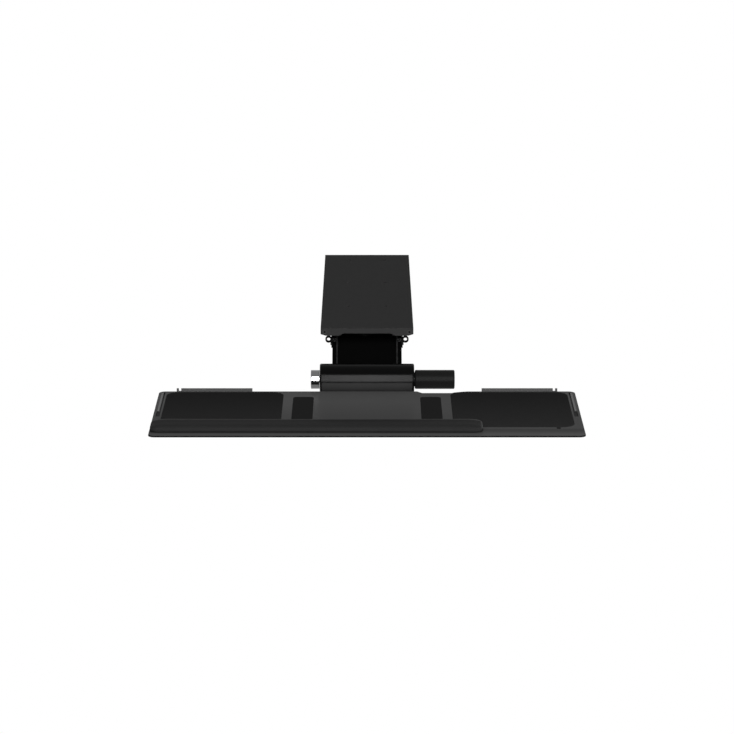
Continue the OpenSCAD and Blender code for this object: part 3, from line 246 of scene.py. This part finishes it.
def scaled(tree, size, stretch=(1, 1, 1)):
    """Object coordinates in cells of a size in metres."""
    place = add(tree, "ShaderNodeTexCoord")
    scale = add(tree, "ShaderNodeMapping", Scale=[s / size for s in stretch])
    tree.links.new(place.outputs["Object"], scale.inputs["Vector"])
    return scale.outputs["Vector"]


def noise(tree, size, detail=3.0, stretch=(1, 1, 1)):
    """Soft noise from 0 to 1, in lumps of a size."""
    made = add(tree, "ShaderNodeTexNoise", Scale=1.0, Detail=detail)
    tree.links.new(scaled(tree, size, stretch), made.inputs["Vector"])
    return made.outputs["Fac"]


def ranged(tree, value, low, high, to_low=0.0, to_high=1.0):
    """A value moved from one range to another, and kept inside it."""
    made = add(tree, "ShaderNodeMapRange", From_Min=low, From_Max=high, To_Min=to_low, To_Max=to_high)
    tree.links.new(value, made.inputs["Value"])
    return made.outputs["Result"]


def band(tree, value, edges):
    """The share of a band between two soft edges."""
    return product(tree, *(ranged(tree, value, *edge) for edge in edges))


def mixed(tree, share, a, b):
    """A colour between two, each a colour or a socket."""
    made = tree.nodes.new("ShaderNodeMix")
    made.data_type = "RGBA"
    tree.links.new(share, made.inputs["Factor"])
    for name, value in (("A", a), ("B", b)):
        if isinstance(value, tuple):
            made.inputs[name].default_value = value
        else:
            tree.links.new(value, made.inputs[name])
    return made.outputs["Result"]


def flecked(tree, low, high, size, detail=3.0, stretch=(1, 1, 1)):
    """A colour that wavers between two grey levels, in flecks of a size."""
    return mixed(tree, noise(tree, size, detail, stretch), grey(low), grey(high))


def up_share(tree, low, high):
    """0 where the object's own normal leans away from its top, 1 where it points up."""
    return ranged(tree, object_axis(tree, "Z", "Normal"), low, high)


# Patterns: each gives a height from 0 to 1


def grain_pattern(size, stretch=(1, 1, 1)):
    return lambda tree: noise(tree, size, stretch=stretch)


def weave_pattern(size):
    """Over-and-under threads, one thread to a cell each way."""
    def build(tree):
        apart = add(tree, "ShaderNodeSeparateXYZ")
        tree.links.new(scaled(tree, size / math.pi), apart.inputs[0])
        across, along = (math_node(tree, "SINE", apart.outputs[axis]) for axis in "XY")
        swap = product(tree, math_node(tree, "SIGN", across), math_node(tree, "SIGN", along))
        over = ranged(tree, swap, -1, 1)
        under = math_node(tree, "SUBTRACT", 1.0, over)
        threads = math_node(tree, "ADD", product(tree, math_node(tree, "ABSOLUTE", across), over),
                            product(tree, math_node(tree, "ABSOLUTE", along), under))
        fuzz = noise(tree, size * 0.6)
        return weighted(tree, threads, fuzz, share=0.7)
    return build


def pebble_pattern(size):
    """Round pebbles with creases between them, as on a leather-like skin."""
    def build(tree):
        cells = add(tree, "ShaderNodeTexVoronoi", Scale=1.0)
        tree.links.new(scaled(tree, size), cells.inputs["Vector"])
        dome = ranged(tree, cells.outputs["Distance"], 0.0, 0.8, to_low=1.0, to_high=0.0)
        pores = noise(tree, size * 0.3)
        return weighted(tree, dome, pores, share=0.75)
    return build


def stud_pattern(size):
    """Even rows of low studs."""
    def build(tree):
        cells = add(tree, "ShaderNodeTexVoronoi", Scale=1.0, Randomness=0.0)
        tree.links.new(scaled(tree, size), cells.inputs["Vector"])
        stud = ranged(tree, cells.outputs["Distance"], 0.25, 0.42, to_low=1.0, to_high=0.0)
        grain = noise(tree, size * 0.3)
        return weighted(tree, stud, grain, share=0.8)
    return build


# Patches of colour: each changes a colour's socket


def with_core(tree, colour):
    """The board's laminate on top, with painted shade towards the palm rest and darker in a band in front of
    the pads, with the dark core on its edges, in its recesses and in its holes, and a backer below."""
    y = object_axis(tree, "Y")
    shaded_laminate = flecked(tree, 60, 67, size=0.0012)
    duller = flecked(tree, 51, 58, size=0.0012)
    core = flecked(tree, 13, 24, size=0.0015, detail=4.0, stretch=(1, 1, 6))
    routed = flecked(tree, 36, 47, size=0.001, detail=4.0, stretch=(3, 1, 1))
    backer = flecked(tree, 34, 42, size=0.002, detail=4.0)
    # Painted shade: the deck darkens towards the palm rest.
    colour = mixed(tree, band(tree, y, DECK_PAINTED_SHADE), colour, shaded_laminate)
    # A darker band in front of the pads.
    colour = mixed(tree, band(tree, y, DECK_DARK_BAND), colour, duller)
    on_top = ranged(tree, object_axis(tree, "Z"), *(DECK_Z - depth for depth in ROUTED_DEPTHS))
    edged = mixed(tree, up_share(tree, *DECK_UP), core, mixed(tree, on_top, routed, colour))
    return mixed(tree, up_share(tree, *DECK_DOWN), edged, backer)


def with_painted_shade_at_rear(tree, colour):
    """Cloth with painted shade: darker towards the rear and paler towards the front."""
    # The share of the paler front; the rear keeps the darker colours as painted shade.
    worn = ranged(tree, object_axis(tree, "Y"), *PAD_PAINTED_SHADE)
    return mixed(tree, worn, colour, flecked(tree, 33, 43, size=0.0009))


def with_painted_rim_highlight(tree, colour):
    """A cover with a painted highlight where it rolls over its rear edge and its right end, and painted shade
    in a crease beside the rear edge."""
    y = object_axis(tree, "Y")
    dark = flecked(tree, 26, 33, size=0.0011)
    pale = flecked(tree, 50, 60, size=0.0011)
    # Painted shade in the crease beside the rear edge.
    colour = mixed(tree, band(tree, y, CREASE_PAINTED_SHADE), colour, dark)
    # A painted highlight on the rim at the rear and at the right end, above a height.
    rim = math_node(tree, "MAXIMUM", ranged(tree, y, *HIGHLIGHT_REAR),
                    ranged(tree, object_axis(tree, "X"), *HIGHLIGHT_RIGHT))
    raised = ranged(tree, object_axis(tree, "Z"), *HIGHLIGHT_RISE)
    return mixed(tree, product(tree, rim, raised), colour, pale)


def off_centre(tree, x):
    """How far a point lies outside x on either side."""
    return math_node(tree, "SUBTRACT", math_node(tree, "ABSOLUTE", object_axis(tree, "X")), x)


def spot(tree, axis, x, other):
    """The distance from a line that lies at x on either side and at another coordinate."""
    across = off_centre(tree, x)
    along = math_node(tree, "SUBTRACT", object_axis(tree, axis), other)
    return math_node(tree, "SQRT", math_node(tree, "ADD", product(tree, across, across),
                                             product(tree, along, along)))


def with_painted_rib_highlights(tree, colour):
    """A painted highlight on top of the arm's two ribs, and paler tops on the rings at its bend."""
    on_rib = ranged(tree, math_node(tree, "ABSOLUTE", off_centre(tree, RIB_X)), *RIB_EDGE)
    patchy = ranged(tree, noise(tree, RIB_PATCH, detail=4.0), *RIB_NOISE, to_low=RIB_LEAST)
    up = up_share(tree, *ARM_UP)
    # A painted highlight on top of the ribs, stronger in some patches.
    colour = mixed(tree, product(tree, on_rib, patchy, up), colour, grey(34))
    ring = band(tree, spot(tree, "Y", BOSS_X, BOSS_Y), BOSS_EDGES)
    return mixed(tree, product(tree, ring, up), colour, grey(58))


def with_painted_dimple_shade(tree, colour):
    """Painted shade in the end caps' dimples and a painted highlight round them."""
    away = spot(tree, "Z", DIMPLE_X, DIMPLE_Z)
    # A painted highlight round each dimple.
    rim = mixed(tree, ranged(tree, away, *DIMPLE_HIGHLIGHT), colour, grey(54))
    # Painted shade in each dimple.
    return mixed(tree, ranged(tree, away, *DIMPLE_SHADE), rim, grey(22))


# Materials


def worn_share(tree, rounded):
    """The share of worn patches along the edges that a rounded normal leans over."""
    true = add(tree, "ShaderNodeNewGeometry")
    lean = tree.nodes.new("ShaderNodeVectorMath")
    lean.operation = "DOT_PRODUCT"
    tree.links.new(rounded, lean.inputs[0])
    tree.links.new(true.outputs["Normal"], lean.inputs[1])
    near = ranged(tree, lean.outputs["Value"], *WORN_LEAN)
    patchy = ranged(tree, noise(tree, WORN_PATCH, detail=4.0), *WORN_NOISE)
    return product(tree, near, patchy)


def surface(name, colours, roughness, specular, pattern, bump, metallic=0.0, depth=0.0002,
            edge=0.0, worn=None, blotch=0.03, sheen=0.0, recolour=None):
    """A finish whose colour, roughness and height follow a pattern, with soft blotches and worn edges.

    colours and roughness are pairs for the pattern's low and high places, depth is its relief and
    bump that relief's strength, edge is the radius of a rounded edge, worn the colour that shows
    along it, blotch the size of the blotches, and recolour a function that changes the colour's socket.
    """
    made = bpy.data.materials.new(name)
    made.use_nodes = True
    tree = made.node_tree
    shader = tree.nodes["Principled BSDF"]
    for socket, value in (("Metallic", metallic), ("Specular IOR Level", specular), ("Sheen Weight", sheen)):
        shader.inputs[socket].default_value = value
    height = pattern(tree)
    blotches = noise(tree, blotch, detail=2.0)
    share = weighted(tree, height, blotches, PATTERN_SHARE, clamp=True)
    colour = mixed(tree, share, *colours)
    relief = add(tree, "ShaderNodeBump", Strength=bump, Distance=depth)
    tree.links.new(height, relief.inputs["Height"])
    if edge:
        rounded = add(tree, "ShaderNodeBevel", Radius=edge)
        rounded.samples = EDGE_SAMPLES
        tree.links.new(rounded.outputs["Normal"], relief.inputs["Normal"])
        if worn:
            colour = mixed(tree, worn_share(tree, rounded.outputs["Normal"]), colour, worn)
    if recolour:
        colour = recolour(tree, colour)
    tree.links.new(colour, shader.inputs["Base Color"])
    tree.links.new(ranged(tree, share, 0, 1, *roughness), shader.inputs["Roughness"])
    tree.links.new(relief.outputs["Normal"], shader.inputs["Normal"])
    return made


def greys(low, high):
    """A pair of colours from two grey levels."""
    return (grey(low), grey(high))


def looks():
    """What sets each finish apart: the arguments of surface()."""
    coat_grain, fine_grain = grain_pattern(0.0014), grain_pattern(0.0009)
    coated, moulded = (0.45, 0.6), (0.5, 0.65)
    return {
        "track_steel": dict(colours=greys(32, 40), roughness=coated, specular=0.004, pattern=coat_grain,
                            bump=0.25, edge=0.0006, worn=grey(70)),
        "black_steel": dict(colours=greys(16, 22), roughness=coated, specular=0.01, pattern=coat_grain,
                            bump=0.25, edge=0.0006, worn=grey(60)),
        # The arm's coating is painted far darker than the other black steel: painted shade, for the shade of
        # the desk above it.
        "arm_steel_painted_shade": dict(colours=greys(3, 6), roughness=coated, specular=0.006, pattern=coat_grain,
                          bump=0.25, edge=0.0006, worn=grey(40), recolour=with_painted_rib_highlights),
        "dark_steel": dict(colours=greys(10, 16), roughness=coated, specular=0.01, pattern=coat_grain,
                           bump=0.2, edge=0.0004, worn=grey(60)),
        "bare_steel": dict(colours=(grey(165, 0.01), grey(190, -0.01)), roughness=(0.25, 0.42),
                           specular=0.5, pattern=grain_pattern(0.002, (0.15, 1, 1)), bump=0.06,
                           metallic=1.0, edge=0.0003),
        "spring_steel": dict(colours=greys(30, 46), roughness=(0.35, 0.5), specular=0.5,
                             pattern=grain_pattern(0.001, (1, 0.3, 1)), bump=0.08, metallic=1.0),
        "black_screw": dict(colours=greys(38, 54), roughness=(0.35, 0.5), specular=0.5,
                            pattern=grain_pattern(0.0008), bump=0.1, metallic=1.0, edge=0.0002,
                            worn=grey(110)),
        "cap_plastic": dict(colours=greys(38, 46), roughness=moulded, specular=0.01, pattern=fine_grain,
                            bump=0.3, edge=0.0008, recolour=with_painted_dimple_shade),
        "black_plastic": dict(colours=greys(14, 21), roughness=moulded, specular=0.02, pattern=fine_grain,
                              bump=0.3, edge=0.0005),
        "base_plastic": dict(colours=greys(24, 31), roughness=moulded, specular=0.01, pattern=fine_grain,
                             bump=0.2),
        "barrel_plastic": dict(colours=greys(3, 6), roughness=(0.16, 0.21), specular=0.026,
                               pattern=grain_pattern(0.004), bump=0.04, edge=0.0006),
        "dial_plastic": dict(colours=greys(16, 23), roughness=(0.28, 0.38), specular=0.02,
                             pattern=grain_pattern(0.0007), bump=0.25, edge=0.0008),
        "casting": dict(colours=greys(44, 52), roughness=(0.4, 0.55), specular=0.008,
                        pattern=grain_pattern(0.0012), bump=0.35, edge=0.0008, worn=grey(72)),
        "chrome": dict(colours=greys(104, 112), roughness=(0.05, 0.09), specular=0.5,
                       pattern=grain_pattern(0.01), bump=0.01, metallic=1.0, edge=0.0004),
        "brass": dict(colours=((0.5, 0.36, 0.15, 1), (0.6, 0.45, 0.2, 1)), roughness=(0.3, 0.4),
                      specular=0.5, pattern=grain_pattern(0.002, (0.2, 1, 1)), bump=0.06,
                      metallic=1.0, edge=0.0003),
        "nylon": dict(colours=((0.62, 0.6, 0.54, 1), (0.72, 0.7, 0.64, 1)), roughness=(0.5, 0.6),
                      specular=0.3, pattern=grain_pattern(0.002), bump=0.08, edge=0.0004),
        "black_nylon": dict(colours=greys(12, 18), roughness=(0.45, 0.55), specular=0.01,
                            pattern=grain_pattern(0.002), bump=0.08, edge=0.0004),
        "rubber": dict(colours=greys(26, 34), roughness=(0.7, 0.85), specular=0.05,
                       pattern=grain_pattern(0.001), bump=0.3, edge=0.0006),
        "board": dict(colours=greys(68, 75), roughness=(0.2, 0.26), specular=0.001,
                      pattern=grain_pattern(0.0012), bump=0.12, depth=0.00006, edge=0.0006,
                      worn=grey(88), recolour=with_core),
        "pad": dict(colours=greys(24, 31), roughness=(0.85, 0.95), specular=0.0,
                    pattern=weave_pattern(0.0008), bump=0.5, sheen=0.004, blotch=0.02,
                    recolour=with_painted_shade_at_rear),
        "grip": dict(colours=greys(30, 37), roughness=(0.6, 0.72), specular=0.0,
                     pattern=stud_pattern(0.0022), bump=0.4),
        "palm": dict(colours=greys(30, 38), roughness=(0.45, 0.6), specular=0.004,
                     pattern=pebble_pattern(0.0011), bump=0.35, recolour=with_painted_rim_highlight),
        "stop": dict(colours=greys(68, 77), roughness=(0.5, 0.6), specular=0.01, pattern=fine_grain,
                     bump=0.25, edge=0.0008, worn=grey(96)),
        "rail": dict(colours=greys(90, 100), roughness=(0.4, 0.5), specular=0.01, pattern=fine_grain,
                     bump=0.2, edge=0.0005, worn=grey(122)),
    }


MATERIALS = {name: surface(name, **look) for name, look in looks().items()}


def paint(made, finish):
    made.data.materials.clear()
    made.data.materials.append(MATERIALS[finish])


def dress():
    for finish, names in FINISHES.items():
        for name in names:
            paint(nodes[name], finish)


# Soft pieces


def show(name, data):
    made = bpy.data.objects.new(name, data)
    bpy.context.scene.collection.objects.link(made)
    return made


def finished(name, shape):
    """A new object from a bmesh, which is freed."""
    mesh = bpy.data.meshes.new(name)
    shape.to_mesh(mesh)
    shape.free()
    return show(name, mesh)


def stands_for(made, node, finish):
    """Lets a soft piece ride the tray in the place of a node of the CAD model."""
    paint(made, finish)
    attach(made, "tray")
    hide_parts(node)


def joined_copy(node):
    """A node's mesh as a closed bmesh, with the points of neighbouring faces joined."""
    shape = bmesh.new()
    shape.from_mesh(nodes[node].data)
    bmesh.ops.remove_doubles(shape, verts=shape.verts, dist=SAME_POINT)
    return shape


def inward(outline, reach):
    """An outline, anticlockwise seen from above, moved inwards."""
    moved = []
    for i, here in enumerate(outline):
        into = (here - outline[i - 1]).normalized()
        on = (outline[(i + 1) % len(outline)] - here).normalized()
        side = Vector((-into.y - on.y, into.x + on.x, 0)).normalized()
        moved.append(here + side * reach)
    return moved


def inlay(name, node, finish, slot):
    """A thin pad that lies in the board, with a rim that rolls down at its edge."""
    shape = joined_copy(node)
    bmesh.ops.dissolve_degenerate(shape, dist=SAME_LEVEL, edges=shape.edges)
    top = max(v.co.z for v in shape.verts)
    upper = [f for f in shape.faces
             if f.normal.z > FACES_UP and f.calc_center_median().z > top - SAME_LEVEL]
    face = bmesh.ops.dissolve_faces(shape, faces=upper)["region"][0]
    ring = list(face.verts)
    outline = [v.co.copy() for v in ring]
    shape.faces.remove(face)
    for v in ring:
        v.co.z = top - PAD_RIM[0][1]
    for reach, drop in PAD_RIM[1:]:
        inner = [shape.verts.new((q.x, q.y, top - drop)) for q in inward(outline, reach)]
        for i in range(len(ring)):
            shape.faces.new((ring[i - 1], ring[i], inner[i], inner[i - 1]))
        ring = inner
    shape.faces.new(ring)
    stands_for(finished(name, shape), node, finish)


def swell(made, glued):
    """Fills a cover from inside with Blender's cloth, with its lowest points glued down."""
    group = made.vertex_groups.new(name="glued")
    group.add(glued, 1.0, "REPLACE")
    cloth = made.modifiers.new("filling", "CLOTH")
    cloth.settings.use_pressure = True
    cloth.settings.uniform_pressure_force = COVER_PRESSURE
    cloth.settings.effector_weights.gravity = 0.0
    cloth.settings.vertex_group_mass = "glued"
    cloth.point_cache.frame_start, cloth.point_cache.frame_end = 1, COVER_FRAMES
    scene = bpy.context.scene
    for step in range(1, COVER_FRAMES + 1):
        scene.frame_set(step)
    graph = bpy.context.evaluated_depsgraph_get()
    swollen = bpy.data.meshes.new_from_object(made.evaluated_get(graph))
    moved = [v.co.copy() for v in swollen.vertices]
    made.modifiers.clear()
    scene.frame_set(1)
    for v, to in zip(made.data.vertices, moved):
        push = to - v.co
        if push.length > COVER_PUSH:
            push *= COVER_PUSH / push.length
        v.co += push


def cover_outline(half_x, half_y, inset):
    """Points of the palm rest's outline seen from above, anticlockwise, inset all round."""
    a, b = half_x - COVER_END * inset, half_y - inset
    r = min(max(COVER_CORNER - inset, COVER_CORNER_LEAST), b)

    def corner(sx, sy, start):
        turns = [math.radians(start + 90 * i / CORNER_STEPS) for i in range(CORNER_STEPS + 1)]
        return [(sx * (a - r) + r * math.cos(t), sy * (b - r) + r * math.sin(t)) for t in turns]

    def drawn_in(x):
        return COVER_DRAW * math.cos(math.pi / 2 * x / a) ** 0.5 * b / half_y

    def side(sy, way):
        xs = [way * (a - r) * (2 * i / SIDE_STEPS - 1) for i in range(1, SIDE_STEPS)]
        return [(x, sy * (b - drawn_in(x))) for x in xs]

    def end(sx, way):
        ys = [way * (b - r) * (2 * i / END_STEPS - 1) for i in range(1, END_STEPS)]
        return [(sx * a, y) for y in ys]

    return (corner(1, -1, -90) + end(1, 1) + corner(1, 1, 0) + side(1, -1) + corner(-1, 1, 90)
            + end(-1, -1) + corner(-1, -1, 180) + side(-1, 1))


def closed_across(shape, ring):
    """Closes a ring with four-sided faces from its front side to its rear side."""
    count = len(ring)
    middle_y = sum(v.co.y for v in ring) / count

    def from_right_middle(i):
        here, last = ring[i].co, ring[i - 1].co
        return (-round(here.x + last.x, SAME_DIGITS), abs(here.y + last.y - 2 * middle_y))

    start = min(range(count), key=from_right_middle)
    for k in range(count // 2 - 1):
        shape.faces.new((ring[(start + k) % count], ring[(start + k + 1) % count],
                         ring[(start - 2 - k) % count], ring[(start - 1 - k) % count]))


def palm_rest():
    """The palm rest's cover: rings from its base to its crown, closed, filled and rounded."""
    low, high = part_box("palm_rest_cushion")
    low.x += COVER_TUCK
    middle, half = (low + high) / 2, (high - low) / 2
    shape = bmesh.new()
    rings = []
    for inset, rise in COVER_RINGS:
        rings.append([shape.verts.new((middle.x + x, middle.y + y, low.z + rise))
                      for x, y in cover_outline(half.x, half.y, inset)])
    for below, above in zip(rings, rings[1:]):
        for i in range(len(below)):
            shape.faces.new((below[i - 1], below[i], above[i], above[i - 1]))
    closed_across(shape, rings[0][::-1])
    closed_across(shape, rings[-1])
    made = finished("palm_rest", shape)
    swell(made, [v.index for v in made.data.vertices if v.co.z < low.z + COVER_GLUED])
    for face in made.data.polygons:
        face.use_smooth = True
    finer = made.modifiers.new("finer", "SUBSURF")
    finer.levels = finer.render_levels = 1
    stands_for(made, "palm_rest_cushion", "palm")


# Stage


def camera():
    data = bpy.data.cameras.new("camera")
    data.lens = CAMERA_LENS
    data.sensor_width = SENSOR
    seen = show("camera", data)
    seen.location = CAMERA_PLACE
    seen.rotation_euler = (math.radians(CAMERA_PITCH), 0, 0)
    bpy.context.scene.camera = seen


def shown_white(tree, lit, white, out):
    """Sends a shader out, with plain white where the camera, a reflection or glass looks at it."""
    path = tree.nodes.new("ShaderNodeLightPath")
    seen = path.outputs["Is Camera Ray"]
    for other in ("Is Glossy Ray", "Is Transmission Ray"):
        seen = math_node(tree, "MAXIMUM", seen, path.outputs[other])
    mix = tree.nodes.new("ShaderNodeMixShader")
    tree.links.new(seen, mix.inputs["Fac"])
    tree.links.new(lit, mix.inputs[1])
    tree.links.new(white, mix.inputs[2])
    tree.links.new(mix.outputs[0], out)


def world():
    made = bpy.data.worlds.new("studio")
    made.use_nodes = True
    tree = made.node_tree
    tree.nodes.clear()
    fill = add(tree, "ShaderNodeBackground", Color=WHITE, Strength=WORLD_FILL)
    white = add(tree, "ShaderNodeBackground", Color=WHITE, Strength=1.0)
    out = tree.nodes.new("ShaderNodeOutputWorld")
    shown_white(tree, fill.outputs[0], white.outputs[0], out.inputs["Surface"])
    bpy.context.scene.world = made


def floor():
    """A pale floor that is see-through from below, so that it doesn't hide the object's underside."""
    mesh = bpy.data.meshes.new("floor")
    h = FLOOR_HALF
    mesh.from_pydata([(-h, -h, FLOOR_Z), (h, -h, FLOOR_Z), (h, h, FLOOR_Z), (-h, h, FLOOR_Z)], [],
                     [(0, 1, 2, 3)])
    made = show("floor", mesh)
    pale = bpy.data.materials.new("floor")
    pale.use_nodes = True
    tree = pale.node_tree
    tree.nodes.clear()
    lit = add(tree, "ShaderNodeBsdfDiffuse", Color=FLOOR_COLOUR)
    white = add(tree, "ShaderNodeEmission", Color=WHITE)
    clear = tree.nodes.new("ShaderNodeBsdfTransparent")
    side = tree.nodes.new("ShaderNodeNewGeometry")
    either = tree.nodes.new("ShaderNodeMixShader")
    out = tree.nodes.new("ShaderNodeOutputMaterial")
    tree.links.new(side.outputs["Backfacing"], either.inputs["Fac"])
    tree.links.new(clear.outputs[0], either.inputs[2])
    tree.links.new(either.outputs[0], out.inputs["Surface"])
    shown_white(tree, lit.outputs[0], white.outputs[0], either.inputs[1])
    mesh.materials.append(pale)


def lamp(name, place, size, power):
    data = bpy.data.lights.new(name, "AREA")
    data.shape = "RECTANGLE"
    data.size, data.size_y = size
    data.energy = power
    made = show(name, data)
    made.location = place
    made.rotation_euler = (Vector(LAMP_TARGET) - Vector(place)).to_track_quat("-Z", "Y").to_euler()


dress()
for row in INLAYS:
    inlay(*row)
palm_rest()
camera()
world()
floor()
for lamp_name, settings in LAMPS.items():
    lamp(lamp_name, *settings)
bpy.context.scene.view_settings.view_transform = "Standard"
